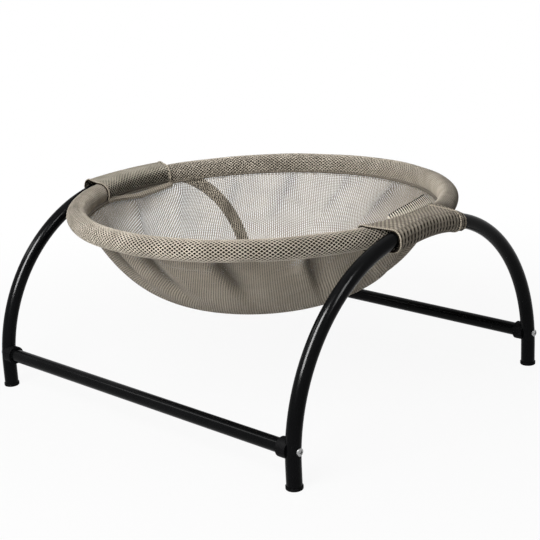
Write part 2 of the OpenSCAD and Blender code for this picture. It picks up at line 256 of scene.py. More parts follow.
def net_material(name, light, deep, rib, cross):
    """See-through bowl mesh: ribs along one way of the cloth, staggered cross yarns and open
    cells between them, with painted shade in the furrows. The mesh's own "open" value says how
    far the cloth is pulled apart, and "fold" how much painted shade lies in the gathers'
    valleys, where the cloth also lies double."""
    s = Shader(bpy.data.materials.new(name))
    where = s.place()
    x, y = s.weave()
    across = s.math("DIVIDE", x, rib)
    along = s.math("DIVIDE", y, cross)
    column = s.math("FLOOR", across)
    stagger = s.math("MULTIPLY", s.math("MODULO", s.math("ABSOLUTE", column), 2.0), 0.5)
    cross_wave = s.wave(s.math("ADD", along, stagger), 1.0)
    height = s.math("ADD", s.wave(across, 1.0), s.math("MULTIPLY", cross_wave, 0.75))
    wander = s.math("MULTIPLY", s.math("SUBTRACT", s.noise(where, 60.0, 2.0), 0.5), 0.25)
    edge = s.span(s.value("open"), 0.0, 1.0, -1.45, -0.30)
    solid = s.span(s.math("SUBTRACT", s.math("ADD", height, wander), edge), -0.12, 0.12)
    yarn = s.noise(where, *FIBRES)
    blotch = s.noise(where, 38.0, 3.0)
    cloth = s.mix(s.span(blotch, 0.3, 0.7, 0.0, 0.6), light, deep)
    # Painted shade in the furrows between the weave's ribs and cross yarns.
    cloth = s.mix(s.span(height, 0.8, -0.9), cloth, scaled(deep, FURROW_SHADE))
    # Painted shade in the gathers' valleys, where the cloth also lies double.
    cloth = s.mix(s.span(s.value("fold"), 0.06, 0.90, 0.0, 0.92), cloth, scaled(deep, 0.26))
    lift = s.math("ADD", s.math("MULTIPLY", height, 0.5), s.math("MULTIPLY", yarn, 0.35))
    shader = cloth_shader(s, cloth, yarn, lift, 0.0007)
    s.put(shader.inputs["Alpha"], solid)
    return s.owner


def band_material(name, light, deep, pitch, slits=None):
    """Folded hem or tape: close ribs across the band, pressed flat by the stitching, with painted
    shade between the ribs. slits is the girth of a band whose ribs part towards its upper edge,
    with painted shade in the gaps between them."""
    s = Shader(bpy.data.materials.new(name))
    where = s.place()
    along, across = s.weave()
    rib = s.wave(along, pitch)
    yarn = s.noise(where, *FIBRES)
    # Painted shade between the ribs: the ribs take the light colour, the furrows the deep one.
    cloth = s.mix(s.span(rib, 0.5, -0.9), light, deep)
    cloth = s.mix(s.span(yarn, 0.4, 0.8, 0.0, 0.5), cloth, deep)
    if slits:
        high = s.wave(across, slits)
        gap = s.math("MULTIPLY", s.span(high, -0.55, 0.35), s.span(rib, 0.45, -0.30))
        # Painted shade in the gaps between the ribs, towards the upper edge.
        cloth = s.mix(gap, cloth, PIT)
    lift = s.math("ADD", s.math("MULTIPLY", rib, 0.5), s.math("MULTIPLY", yarn, 0.4))
    cloth_shader(s, cloth, yarn, lift, 0.0006)
    return s.owner


def thread_material(name, colour):
    """Twisted sewing thread."""
    s = Shader(bpy.data.materials.new(name))
    ply = s.noise(s.place(), 2800.0, 2.0)
    s.principled({
        "Base Color": s.mix(s.span(ply, 0.35, 0.7), colour, scaled(colour, 0.55)),
        "Roughness": s.span(ply, 0.2, 0.8, 0.65, 0.85),
        "Specular IOR Level": 0.0,
        "Normal": s.bump(ply, 0.0001, 0.5),
    })
    return s.owner


paint = paint_material("satin_black_paint", (0.0017, 0.0018, 0.0020, 1.0))
hoop_paint = paint_material("hoop_paint", (0.010, 0.010, 0.010, 1.0))
plastic = plastic_material("moulded_black", (0.0040, 0.0040, 0.0043, 1.0))
zinc = metal_material("zinc_plate", (0.34, 0.34, 0.34, 1.0), 0.22, 6.0)
steel = metal_material("drawn_steel", (0.56, 0.56, 0.55, 1.0), 0.35, 9.0)
# The right sleeve's ribs: 19 along its length, slanted on the roof and straight down the side.
RIB_PITCH = 104 / 19
RIB_SLANT = 1.4
strand = strand_material("air_mesh", (0.56, 0.502, 0.420, 1.0), (0.41, 0.365, 0.30, 1.0), PIT)
sleeve_cloth = strand_material("sleeve_mesh", (0.485, 0.442, 0.362, 1.0),
                               (0.305, 0.278, 0.224, 1.0), PIT)
net = net_material("bowl_net", scaled(TAUPE, 0.90), scaled(TAUPE_DEEP, 0.84), 2.7, 2.3)
band = band_material("pressed_mesh_band", scaled(TAUPE, 0.80), scaled(TAUPE_DEEP, 0.55), 3.4)
dark_band = band_material("seam_band", scaled(TAUPE, 0.55), scaled(TAUPE_DEEP, 0.26), 2.6)
# The right hem's upright fold: its greatest height and its thickness, in millimetres.
FOLD_TALL = 12.5
FOLD_THICK = 2.2
# The fold's mesh is coloured far paler than the same cloth elsewhere: a painted highlight for the
# strong light on it.
lit_fold_cloth = band_material("folded_hem", (0.92, 0.845, 0.73, 1.0), TAUPE_DEEP, 3.7,
                            slits=2 * (FOLD_TALL + FOLD_THICK))
edge_yarn = band_material("cut_edge", TAUPE, scaled(TAUPE_DEEP, 0.8), 1.9)
thread = thread_material("sewing_thread", THREAD)
# Near black strips and teeth of painted shadow: under the sleeves' ends, and along the fold.
painted_shadow = thread_material("painted_shadow", (0.030, 0.025, 0.019, 1.0))

for name, obj in nodes.items():
    if name.endswith(("arch_tube", "crossbar")):
        material = paint
    elif name.endswith(("saddle", "foot_cap")):
        material = plastic
    elif name.endswith("screw"):
        material = zinc
    elif name == "rim_hoop":
        material = hoop_paint
    else:
        material = steel
    obj.data.materials.clear()
    obj.data.materials.append(material)


# Mesh helpers

def build(name, points, faces, material, weave=None, bake=None, values=None):
    """A smooth mesh object from points in millimetres. weave and bake hold one place per
    face corner, values named numbers per point."""
    mesh = bpy.data.meshes.new(name)
    mesh.from_pydata((np.asarray(points) * MM).tolist(), [], faces)
    mesh.polygons.foreach_set("use_smooth", np.ones(len(mesh.polygons), bool))
    for label, places in (("OFBake", bake), ("weave", weave)):
        if places is not None:
            layer = mesh.uv_layers.new(name=label)
            layer.data.foreach_set("uv", np.asarray(places, np.float32).ravel())
    for label, numbers in (values or {}).items():
        layer = mesh.attributes.new(label, "FLOAT", "POINT")
        layer.data.foreach_set("value", np.asarray(numbers, np.float32))
    mesh.update()
    obj = bpy.data.objects.new(name, mesh)
    bpy.context.scene.collection.objects.link(obj)
    obj.data.materials.append(material)
    return obj


def unit(vectors):
    return vectors / np.linalg.norm(vectors, axis=-1, keepdims=True)


def run_length(path):
    steps = np.linalg.norm(np.diff(path, axis=0), axis=1)
    return np.concatenate([[0], np.cumsum(steps)])


def smooth(x, lo, hi):
    t = np.clip((x - lo) / (hi - lo), 0, 1)
    return t * t * (3 - 2 * t)


def fit_square(places):
    """Bake places: the piece's own flat coordinates scaled into the unit square."""
    places = np.asarray(places, float)
    lo, hi = places.min(0), places.max(0)
    return 0.01 + 0.98 * (places - lo) / np.maximum(hi - lo, 1e-9)


RIBBON_SIDES = 12


def ribbon(name, path, side, up, width, thick, material):
    """A closed strip along path, with a rounded section width wide (along side) and thick
    high (along up). width may vary along the path."""
    n, m = len(path), RIBBON_SIDES
    turn = np.arange(m) / m * TAU
    width = np.broadcast_to(np.asarray(width, float), (n,))
    across = np.sign(np.cos(turn)) * np.abs(np.cos(turn)) ** 0.6 / 2
    high = np.sign(np.sin(turn)) * np.abs(np.sin(turn)) ** 0.8 * thick / 2
    points = path[:, None] + side[:, None] * (width[:, None] * across)[:, :, None]
    points = (points + up[:, None] * high[None, :, None]).reshape(-1, 3)
    faces, places = [], []
    length = run_length(path)
    girth = np.linspace(0, 2 * (width.max() + thick), m + 1)
    for i in range(n - 1):
        for j in range(m):
            k = (j + 1) % m
            faces.append((i * m + j, i * m + k, (i + 1) * m + k, (i + 1) * m + j))
            places += [(length[i], girth[j]), (length[i], girth[j + 1]),
                       (length[i + 1], girth[j + 1]), (length[i + 1], girth[j])]
    for i in (0, n - 1):
        ring = [i * m + j for j in range(m)]
        faces.append(tuple(ring[::-1] if i == 0 else ring))
        places += [(length[i], girth[j]) for j in range(m)]
    return build(name, points, faces, material, weave=places, bake=fit_square(places))


STITCH_STEPS = 6
STITCH_SIDES = 6


def stitches(name, path, up, length, thick, gap, material):
    """A row of thread stitches along path, each a small capsule that dips at both ends."""
    reach = run_length(path)
    sample = np.linspace(0, 1, STITCH_STEPS)
    sides = STITCH_SIDES
    points, faces = [], []
    for start in np.arange(gap, reach[-1] - length, length + gap):
        at = start + sample * length
        centre = np.stack([np.interp(at, reach, path[:, k]) for k in range(3)], 1)
        lift = np.stack([np.interp(at, reach, up[:, k]) for k in range(3)], 1)
        side = np.cross(unit(np.gradient(centre, axis=0)), lift)
        rise = (np.sin(sample * math.pi) ** 0.5 - 0.55) * thick
        first = len(points)
        for i in range(STITCH_STEPS):
            r = thick / 2 * (0.6 if i in (0, STITCH_STEPS - 1) else 1.0)
            for j in range(sides):
                a = TAU * j / sides
                points.append(centre[i] + lift[i] * (rise[i] + r * math.sin(a))
                              + side[i] * r * math.cos(a))
        for i in range(STITCH_STEPS - 1):
            for j in range(sides):
                a, b = first + i * sides + j, first + i * sides + (j + 1) % sides
                faces.append((a, b, b + sides, a + sides))
    return build(name, np.array(points), faces, material)


# Eight points round a hole, in shares of a cell: for diamond cells and for square cells.
DIAMOND_RING = np.array([(-1, 0), (-0.56, -0.56), (0, -1), (0.56, -0.56),
                         (1, 0), (0.56, 0.56), (0, 1), (-0.56, 0.56)])
SQUARE_RING = np.array([(-0.78, -0.78), (0, -1), (0.78, -0.78), (1, 0),
                        (0.78, 0.78), (0, 1), (-0.78, 0.78), (-1, 0)])


def diamond_cells(cols, rows, a, b, wrap):
    """Middles, corner places and corner numbers of staggered diamond cells."""
    last = 0 if wrap else 1
    jj, ii = np.meshgrid(np.arange(rows + last), np.arange(cols + last), indexing="ij")
    jj, ii = jj.ravel(), ii.ravel()
    odd = jj % 2
    middle = np.stack([(ii + 0.5 * odd) * a, jj * b], 1)
    corner = np.array([(-a / 2, 0), (0, -b), (a / 2, 0), (0, b)])
    key_u = np.stack([2 * ii + odd + d for d in (-1, 0, 1, 0)], 1)
    key_v = np.stack([jj + d for d in (0, -1, 0, 1)], 1)
    if wrap:
        keys = (key_u % (2 * cols)) + (key_v % rows) * (2 * cols)
    else:
        keys = (key_u + 2) + (key_v + 2) * (2 * cols + 8)
    return middle, middle[:, None] + corner, keys


def square_cells(cols, rows, a, b):
    """Middles, corner places and corner numbers of square cells in straight columns."""
    jj, ii = np.meshgrid(np.arange(rows), np.arange(cols), indexing="ij")
    jj, ii = jj.ravel(), ii.ravel()
    middle = np.stack([(ii + 0.5) * a, (jj + 0.5) * b], 1)
    corner = np.array([(-a / 2, -b / 2), (a / 2, -b / 2), (a / 2, b / 2), (-a / 2, b / 2)])
    steps = ((0, 0), (1, 0), (1, 1), (0, 1))
    keys = np.stack([ii + u + (jj + v) * (cols + 1) for u, v in steps], 1)
    return middle, middle[:, None] + corner, keys


def bake_strips(places, faces, size, cell, strips):
    """Bake places of cloth that is cut into strips along its length, one above the other."""
    (long, wide), (a, b) = size, cell
    corners = np.array([len(face) for face in faces])
    first = np.concatenate([[0], np.cumsum(corners)[:-1]])
    strip, tall = long / strips, wide + 4 * b
    row = np.clip(np.floor(places[first, 0] / strip), 0, strips - 1)
    row = np.repeat(row, corners)
    return np.stack([(places[:, 0] - row * strip + a) / (strip + 2 * a),
                     (row * tall + places[:, 1] + 2 * b) / (strips * tall)], 1)


# Holes keep this far from the cloth's edge. Their edge lies this deep, in millimetres, and their
# floor is this share of their size. Corners of cells at the cloth's edge with less than this
# share of a cell between them get no face.
HOLE_MARGIN = 0.4
HOLE_EDGE_DEPTH = 0.16
HOLE_FLOOR = 0.8
LEAST_CELL = 0.04


def lattice(name, surface, cells, size, material, hole, depth, stretch, pits, rib=0.0,
            staggered=True, wrap=False, strips=1):
    """Cloth with real open cells: the holes of a knitted air mesh, each a pit with sloping
    walls. surface(u, v) gives points and normals at places in millimetres of cloth. hole is
    the hole's share of a cell both ways, and rib the height of the yarns between columns.
    stretch(u, v) scales the holes both ways. pits(u, v) gives how dark the colour is painted on
    the yarns, at a hole's edge and at its floor, from 0 to 1: in the holes that is painted shade.
    With wrap, it closes both ways."""
    a, b = size[0] / cells[0], size[1] / cells[1]
    if staggered:
        middle, flat_corner, keys = diamond_cells(*cells, a, b, wrap)
        ring_share, half = DIAMOND_RING, np.array([a / 2, b])
    else:
        middle, flat_corner, keys = square_cells(*cells, a, b)
        ring_share, half = SQUARE_RING, np.array([a / 2, b / 2])
    used, index = np.unique(keys.ravel(), return_inverse=True)
    index = index.reshape(-1, 4)
    top = np.zeros((len(used), 2))
    top[index.ravel()] = flat_corner.reshape(-1, 2)
    spread = ring_share * half * np.array(hole) * stretch(*middle.T)[:, None]
    ring_flat = middle[:, None] + spread
    floor_flat = middle[:, None] + spread * HOLE_FLOOR
    open_cell = np.ones(len(middle), bool)
    if not wrap:
        lo, hi = ring_flat.min(1), ring_flat.max(1)
        open_cell = (lo > HOLE_MARGIN).all(1) & (hi < np.array(size) - HOLE_MARGIN).all(1)
        top = np.clip(top, 0, size)
        flat_corner = np.clip(flat_corner, 0, size)

    def put(places, sink):
        p, n = surface(places[..., 0].ravel(), places[..., 1].ravel())
        return (p - n * sink).reshape(-1, 3)

    holes = np.flatnonzero(open_cell)
    points = np.concatenate([put(top, -rib), put(ring_flat[holes], HOLE_EDGE_DEPTH),
                             put(floor_flat[holes], depth)])
    # How dark each point is painted: painted shade in the holes, deepest on their floors.
    yarn_pit = pits(*top.T)[0] + np.zeros(len(top))
    _, edge_pit, floor_pit = pits(*middle[holes].T)
    pit = np.concatenate([yarn_pit, np.repeat(edge_pit + np.zeros(len(holes)), 8),
                          np.repeat(floor_pit + np.zeros(len(holes)), 8)])
    ring_at = len(top) + 8 * np.arange(len(holes))[:, None] + np.arange(8)
    floor_at = ring_at + 8 * len(holes)
    faces, places = [], []
    for n, c in enumerate(holes):
        k, r, f = index[c], ring_at[n], floor_at[n]
        ku, ru, fu = flat_corner[c], ring_flat[c], floor_flat[c]
        for q in range(4):
            e, mid, end = (q + 1) % 4, 2 * q + 1, (2 * q + 2) % 8
            faces.append((k[q], k[e], r[end], r[mid], r[2 * q]))
            places += [ku[q], ku[e], ru[end], ru[mid], ru[2 * q]]
        for q in range(8):
            e = (q + 1) % 8
            faces.append((r[q], r[e], f[e], f[q]))
            places += [ru[q], ru[e], fu[e], fu[q]]
        faces.append(tuple(f))
        places += list(fu)
    for c in np.flatnonzero(~open_cell):
        ku = flat_corner[c]
        across, along = ku[2] - ku[0], ku[3] - ku[1]
        if abs(across[0] * along[1] - across[1] * along[0]) > LEAST_CELL * a * b:
            faces.append(tuple(index[c]))
            places += list(ku)
    faces = [tuple(int(x) for x in f) for f in faces]
    places = np.array(places)
    bake = bake_strips(places, faces, size, (a, b), strips)
    return build(name, points, faces, material, weave=places, bake=bake, values={"pit": pit})


# Rim

# The padding gives way over this depth, in millimetres.
PRESS_SOFT = 3.4


def press_flat(points):
    """The padded roll gives way where the arch tubes pass it."""
    start = RIM_FLAT_X - PRESS_SOFT
    over = np.maximum(np.abs(points[:, 0]) - start, 0)
    pressed = start + PRESS_SOFT * (1 - np.exp(-over / PRESS_SOFT))
    x = np.where(over > 0, np.sign(points[:, 0]) * pressed, points[:, 0])
    return np.stack([x, points[:, 1], points[:, 2]], 1)


# The rim's cloth is bunched most in this direction and the opposite one, by this share.
BUNCH_AT = math.radians(31)
BUNCH = 0.25
# It is pulled open beside the front end of the right sleeve, and its padding shows most here.
PULLED_AT = math.radians(333)
PADDING_AT = math.radians(110)
# Cells along the rim and round the roll.
RIM_CELLS = (322, 36)


def rim_around(u):
    """Direction round the rim at u millimetres of cloth: bunched cloth advances slowly."""
    even = u / RIM_R + math.pi / 2
    return even - BUNCH / 2 * np.sin(2 * (even - BUNCH_AT))


def rim_surface(u, v):
    """The rolled cover: a soft ring, a little lumpy and drawn down at its seam."""
    around = rim_around(u)
    turn = v / COVER_R
    seam = (turn - SEAM_ANGLE) % TAU - math.pi
    lump = 0.18 * np.sin(9 * around + 0.6) + 0.14 * np.sin(17 * around + turn + 2.0)
    r = COVER_R - 0.15 + lump + 1.4 * np.exp(-(seam / 0.35) ** 2)
    out = np.stack([np.cos(around), np.sin(around), 0 * around], -1)
    normal = out * np.cos(turn)[:, None] + np.array([0, 0, 1.0]) * np.sin(turn)[:, None]
    return press_flat(out * RIM_R + np.array([0, 0, RIM_Z]) + normal * r[:, None]), normal


def rim_stretch(u, v):
    """The holes keep their height where the cloth is bunched, so more of it is open."""
    around = rim_around(u)
    bunched = smooth(np.cos(2 * (around - BUNCH_AT)), 0.0, 1.0)
    pulled = smooth(np.cos(around - PULLED_AT), 0.86, 0.99)
    wider = 1 + 0.14 * bunched + 0.11 * pulled
    return np.stack([wider, wider], 1)


def rim_pits(u, v):
    """The yarns and the holes' edges are coloured darker where the cloth is bunched on the outer
    side, and the padding shows through at the far side of the rim."""
    outer = smooth(np.cos(v / COVER_R), -0.9, 0.1)
    bunched = smooth(np.cos(2 * (rim_around(u) - BUNCH_AT)), -0.4, 0.7) * outer
    padding = smooth(np.cos(rim_around(u) - PADDING_AT), 0.2, 0.9)
    return 0.48 * bunched, 0.12 + 0.36 * bunched, 1.0 - 0.20 * padding


rim_roll = lattice("rim_roll", rim_surface, RIM_CELLS, (TAU * RIM_R, TAU * COVER_R), strand,
                   hole=(0.74, 0.74), depth=1.0, stretch=rim_stretch, pits=rim_pits, wrap=True,
                   strips=4)
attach(rim_roll, "hammock")
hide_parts("rim_cover")


# Bowl

# Gathers of the bowl: direction in degrees, depth in millimetres, then the reach in degrees
# and the sharpness (1 is a crease) of the flank before and of the flank after.
GATHERS = [
    (10, 7.5, 10, 2, 9, 2), (33, 8.0, 9, 2, 11, 1), (56, 7.5, 11, 2, 9, 2),
    (79, 8.5, 8, 1, 10, 2), (101, 7.0, 10, 2, 10, 2), (123, 9.0, 9, 2, 8, 1),
    (145, 7.5, 9, 2, 10, 2), (167, 8.0, 10, 1, 10, 2), (189, 7.5, 10, 2, 9, 2),
    (212, 4.5, 11, 2, 9, 2), (232, 4.0, 10, 2, 8, 2), (252, 11.0, 11, 2, 11, 1),
    (273, 12.0, 9, 2, 8, 1), (300, 13.0, 3.5, 1, 12, 2), (328, 12.0, 2.6, 1, 9, 2),
    (349, 9.0, 9, 2, 9, 2),
]
DEEPEST = max(gather[1] for gather in GATHERS)
# Each gather leans from this radius share on: its direction in degrees grows this fast as the
# share falls.
LEAN_FROM = 0.97
GATHER_LEAN = 48.0


def bowl_tuck(a, s):
    """How far the gathers draw the wall in, at direction a (radians) and radius share s."""
    total = np.zeros_like(a)
    reach = smooth(s, 0.62, 0.94) * (1 - 0.75 * smooth(s, 0.980, 1.0))
    lean = np.radians(GATHER_LEAN * (LEAN_FROM - s))
    for direction, depth, before, sharp_before, after, sharp_after in GATHERS:
        off = np.degrees((a - lean - math.radians(direction) + math.pi) % TAU - math.pi)
        falling = np.clip(1 + off / before, 0, 1) ** sharp_before
        rising = np.clip(1 - off / after, 0, 1) ** sharp_after
        total += depth * np.where(off < 0, falling, rising)
    return total * reach


def bowl_point(a, s):
    """Point of the bowl wall. s past 1 runs on along the seam towards the hoop."""
    inner = np.minimum(s, 1.0)
    past = np.maximum(s - 1.0, 0.0) * BOWL_R
    share = BOWL_ROUNDNESS * inner ** 2 + (1 - BOWL_ROUNDNESS) * inner ** 4
    pucker = (0.4 * np.sin(97 * a + 1.3) + 0.3 * np.sin(61 * a)) * smooth(inner, 0.93, 1.0)
    r = BOWL_R * inner + past * math.cos(SEAM_ANGLE) - bowl_tuck(a, inner) - pucker
    z = BOWL_TOP_Z - BOWL_DEPTH * (1 - share) + past * math.sin(SEAM_ANGLE)
    y = r * np.sin(a) + BOWL_FORWARD * (inner ** 4 - 1)
    return np.stack([r * np.cos(a), y, z], -1)


# The cloth is pulled most open at the far wall, and least at the near wall and the bottom. It
# stays close below the front end of the left sleeve, and is open in a spot (in degrees).
OPEN_DIRECTION = math.radians(140)
CLOSE_DIRECTION = math.radians(202)
OPEN_SPOT = 323.5
OPEN_SPOT_WIDTH = 2.2


def bowl_opening(a, s):
    """How far the cells are pulled open: at the far wall, and in a spot beside a gather."""
    far = smooth(np.cos(a - OPEN_DIRECTION), 0.0, 0.95) * smooth(s, 0.35, 0.75)
    close = smooth(np.cos(a - CLOSE_DIRECTION), 0.80, 0.96) * smooth(s, 0.915, 0.985)
    spot = np.exp(-((np.degrees(a) - OPEN_SPOT) / OPEN_SPOT_WIDTH) ** 2) * smooth(s, 0.925, 0.955)
    return np.maximum(far * (1 - 0.62 * close), spot)


# Spokes of the bowl's mesh, and its rings from the middle, up the wall and along the seam.
SPOKES = 480
RINGS_MIDDLE, RINGS_WALL, RINGS_SEAM = 18, 40, 4
# The weave's direction, the length of cloth past the bowl's edge, the direction in which the
# cloth's length is measured, and where its first ring lies, in millimetres from the middle.
CLOTH_TURN = math.radians(-50)
SEAM_TAIL = 7.6
MEASURE_AT = 0.3
FIRST_RING = 0.8


def bowl_piece():
    """The bowl's cloth on spokes and rings. Its weave is that of a flat disc of cloth."""
    ring_share = np.concatenate([np.linspace(0.004, 0.5, RINGS_MIDDLE),
                                 np.linspace(0.52, 1.0, RINGS_WALL),
                                 1.0 + np.linspace(2.0, SEAM_TAIL, RINGS_SEAM) / BOWL_R])
    rings = len(ring_share)
    spoke_at = np.arange(SPOKES) / SPOKES * TAU
    aa, ss = (grid.ravel() for grid in np.meshgrid(spoke_at, ring_share, indexing="ij"))
    wall = np.concatenate([bowl_point(aa, ss), bowl_point(np.zeros(1), np.zeros(1))])
    openness = np.append(bowl_opening(aa, ss), 0.0)
    # Painted shade in the gathers' valleys: deepest where they draw the wall in most.
    valley_shade = bowl_tuck(aa, np.minimum(ss, 0.98)) / DEEPEST * smooth(ss, 0.72, 0.97)
    run = run_length(bowl_point(0 * ring_share + MEASURE_AT, ring_share)) + FIRST_RING
    faces, corner_a, corner_d = [], [], []
    for i in range(SPOKES):
        n = (i + 1) % SPOKES
        here, there = i / SPOKES * TAU, (i + 1) / SPOKES * TAU
        for j in range(rings - 1):
            faces.append((i * rings + j, n * rings + j, n * rings + j + 1, i * rings + j + 1))
            corner_a += [here, there, there, here]
            corner_d += [run[j], run[j], run[j + 1], run[j + 1]]
        faces.append((SPOKES * rings, n * rings, i * rings))
        corner_a += [here, there, here]
        corner_d += [0.0, run[0], run[0]]
    corner_a, corner_d = np.array(corner_a) - CLOTH_TURN, np.array(corner_d)
    cloth = np.stack([corner_d * np.sin(corner_a), corner_d * np.cos(corner_a)], 1)
    return build("bowl_net", wall, faces, net, weave=cloth, bake=fit_square(cloth),
                 values={"open": openness, "fold": np.append(valley_shade, 0.0)})


bowl = bowl_piece()
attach(bowl, "hammock")
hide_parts("bowl_mesh")


def seam_point(a, out, off):
    """Point on the straight seam, out from the hoop axis and off towards the inside."""
    r = RIM_R - out * math.cos(SEAM_ANGLE) - off * math.sin(SEAM_ANGLE)
    z = RIM_Z - out * math.sin(SEAM_ANGLE) + off * math.cos(SEAM_ANGLE) + 0 * a
    return np.stack([r * np.cos(a), r * np.sin(a), z], -1)


def seam_ring(name, out, off, width, thick, material, start=0.0, stop=TAU, steps=361):
    """A strip along the seam. out may vary along it, with one value per step."""
    a = np.linspace(start, stop, steps)
    path = seam_point(a, out, off)
    side = seam_point(a, out + 1, off) - path
    up = seam_point(a, out, off + 1) - path
    return ribbon(name, path, side, up, width, thick, material)


# The tape: how far out and off the seam it lies, its width and its thickness.
TAPE = (13.9, 1.7, 4.0, 1.0)
# Stitches along the rim and along the hems: length, thickness and gap. Those of the rim lie this
# far out and off the seam.
RIM_STITCH = (3.4, 0.9, 1.1)
HEM_STITCH = (3.2, 0.9, 1.1)
RIM_ROWS = {"inner": (15.2, 2.4), "outer": (16.0, -1.2)}
ROW_STEPS = 721

tape = seam_ring("seam_tape", *TAPE, dark_band)
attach(tape, "hammock")
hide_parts("rim_seam_tape")
a = np.linspace(0, TAU, ROW_STEPS)
trims = [tape]
for label, (out, off) in RIM_ROWS.items():
    path = seam_point(a, out, off)
    up = (seam_point(a, out, off + 1) - path) * np.sign(off)
    row = stitches(f"rim_stitches_{label}", path, up, *RIM_STITCH, thread)
    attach(row, "hammock")
    trims.append(row)


# Sleeves

# Each sleeve: side, front end at the rim, how far it is drawn back at the tube, length, how
# far its roof follows the bent tube (0 is straight), and its slack under the tube at even
# steps from front to rear.
SLEEVES = {
    "left": (-1, -79.0, 12.0, 118.0, 0.25, (2.0, 3.0, 3.0, 2.5, 1.0)),
    "right": (1, -64.0, 13.0, 104.0, 0.95, (3.0, 5.2, 4.0, 3.0, 2.4)),
}
# Steps round a sleeve's outline, its loop and its edges, then stations along it and rounds of
# smoothing.
OUTLINE_STEPS = 500
LOOP_STEPS = 180
EDGE_STEPS = 150
STATIONS = 41
SMOOTHINGS = 6
# Radii of the loop over tube and rim, and how far outside it the cloth's face lies.
HUG_R = TUBE_R + 0.9
ON_RIM_R = COVER_R + 0.5
CLOTH_GROW = 1.3
# Cells of the cloth: their height between ribs, and both sizes where the cloth lies askew.
RIB_CELL = 5.6
ASKEW_CELL = (4.9, 2.1)
# Both ends of a sleeve: how far in the edge yarn lies, its lift and width, then the lift and
# width of the dark strip below it, a painted shadow of the gap under the edge, and their
# thickness.
EDGE_IN, EDGE_LIFT, EDGE_WIDE = 0.6, 0.1, 1.7
SHADOW_STRIP_LIFT, SHADOW_STRIP_WIDE = -0.9, 1.4
EDGE_THICK = 1.6
# How far each hem lies from the hoop's axis, at even steps along it, then how far above the
# seam, its width and thickness, and where its stitches lie.
HEM_OUT = {"left": (17.4, 20.5, 22.0, 17.8, 12.6), "right": (17.4, 17.4)}
HEM_STEPS = 61
HEM_OFF, HEM_WIDE, HEM_THICK = 4.2, 7.4, 2.2
HEM_STITCH_OUT, HEM_STITCH_OFF = 2.0, 5.5
# The right hem's upright fold: places along the arch with its height there, the directions of
# its foot and of its lean round the rim in degrees, and its row of dark teeth, painted shade
# along its upper edge.
FOLD_AT = (-30, -10, 20, 44, 49)
FOLD_HEIGHTS = (4.0, 8.0, 11.0, FOLD_TALL, 10.5)
FOLD_STEPS = 60
FOLD_FOOT, FOLD_LEAN = 96, 132
FOLD_SINK = 0.4
TEETH = (1.6, 1.5, 2.1)
TEETH_SINK = 0.2
# The cuff at the right sleeve's rear end: how far it lies under the sleeve, how far it sticks
# out, and how much closer it lies.
CUFF_UNDER, CUFF_OUT, CUFF_CLOSER = 12, 11, 0.9


def crest_height(y):
    return CREST_Z - CREST_R + np.sqrt(CREST_R ** 2 - (y - ARCH_Y) ** 2)


def sleeve_section(y_rim, y_tube, follow, slack, grow):
    """Loop of one station from the inner side of the seam over rim and tube to the outer
    side: the outline of the rim, the tube at the roof, and the tube at the slack floor."""
    turn = math.asin(y_rim / RIM_R)
    x_rim = RIM_R * math.cos(turn)
    roof_z = CREST_Z - follow * (CREST_Z - crest_height(y_tube))
    floor_z = crest_height(y_tube) - slack
    direction = np.linspace(SLEEVE_END_INNER, SLEEVE_END_OUTER, OUTLINE_STEPS)
    c, s = np.cos(direction), np.sin(direction)
    at_rim = x_rim * c + RIM_Z * s + ON_RIM_R
    at_roof = ARCH_X * c + roof_z * s + HUG_R
    at_floor = ARCH_X * c + floor_z * s + HUG_R
    r = RIM_R + (ON_RIM_R + grow) * c
    rim = np.stack([r * math.cos(turn), r * math.sin(turn), RIM_Z + (ON_RIM_R + grow) * s], 1)
    high = np.where(at_roof >= at_floor, roof_z, floor_z) + (HUG_R + grow) * s
    tube = np.stack([ARCH_X + (HUG_R + grow) * c, np.full(len(c), y_tube), high], 1)
    loop = np.where((at_rim >= np.maximum(at_roof, at_floor))[:, None], rim, tube)
    reach = run_length(loop)
    at = np.linspace(0, reach[-1], LOOP_STEPS)
    loop = np.stack([np.interp(at, reach, loop[:, k]) for k in range(3)], 1)
    for _ in range(SMOOTHINGS):
        loop[1:-1] = 0.25 * loop[:-2] + 0.5 * loop[1:-1] + 0.25 * loop[2:]
    return loop, reach[-1]


class Sleeve:
    """A sleeve's surface, sampled on a grid of stations along the arch and steps round."""

    def __init__(self, side, front, skew, long, follow, slacks, grow):
        share = np.linspace(0, 1, STATIONS)
        slack = np.interp(share, np.linspace(0, 1, len(slacks)), slacks)
        loops = [sleeve_section(y, y + skew, follow, k, grow)
                 for y, k in zip(front + long * share, slack)]
        self.grid = np.array([loop for loop, _ in loops]) * np.array([side, 1, 1])
        self.long = long
        self.round = float(np.mean([length for _, length in loops]))
        normal = np.cross(np.gradient(self.grid, axis=1), np.gradient(self.grid, axis=0)) * side
        self.normal = unit(normal)

    def at(self, u, v):
        """Points and normals u millimetres along the arch and v millimetres round."""
        i = np.clip(u / self.long, 0, 1) * (STATIONS - 1)
        j = np.clip(v / self.round, 0, 1) * (LOOP_STEPS - 1)
        i0 = np.minimum(i.astype(int), STATIONS - 2)
        j0 = np.minimum(j.astype(int), LOOP_STEPS - 2)
        fi, fj = (i - i0)[:, None], (j - j0)[:, None]

        def pick(table):
            near = table[i0, j0] * (1 - fj) + table[i0, j0 + 1] * fj
            far = table[i0 + 1, j0] * (1 - fj) + table[i0 + 1, j0 + 1] * fj
            return near * (1 - fi) + far * fi

        return pick(self.grid), unit(pick(self.normal))

    def roof_end(self):
        """Millimetres round to where the roof turns down over the tube."""
        x, normal_x = self.grid[STATIONS // 2, :, 0], self.normal[STATIONS // 2, :, 0]
        turned = np.flatnonzero(normal_x * np.sign(x) > 0.5)[0]
        return self.round * float(turned) / (LOOP_STEPS - 1)


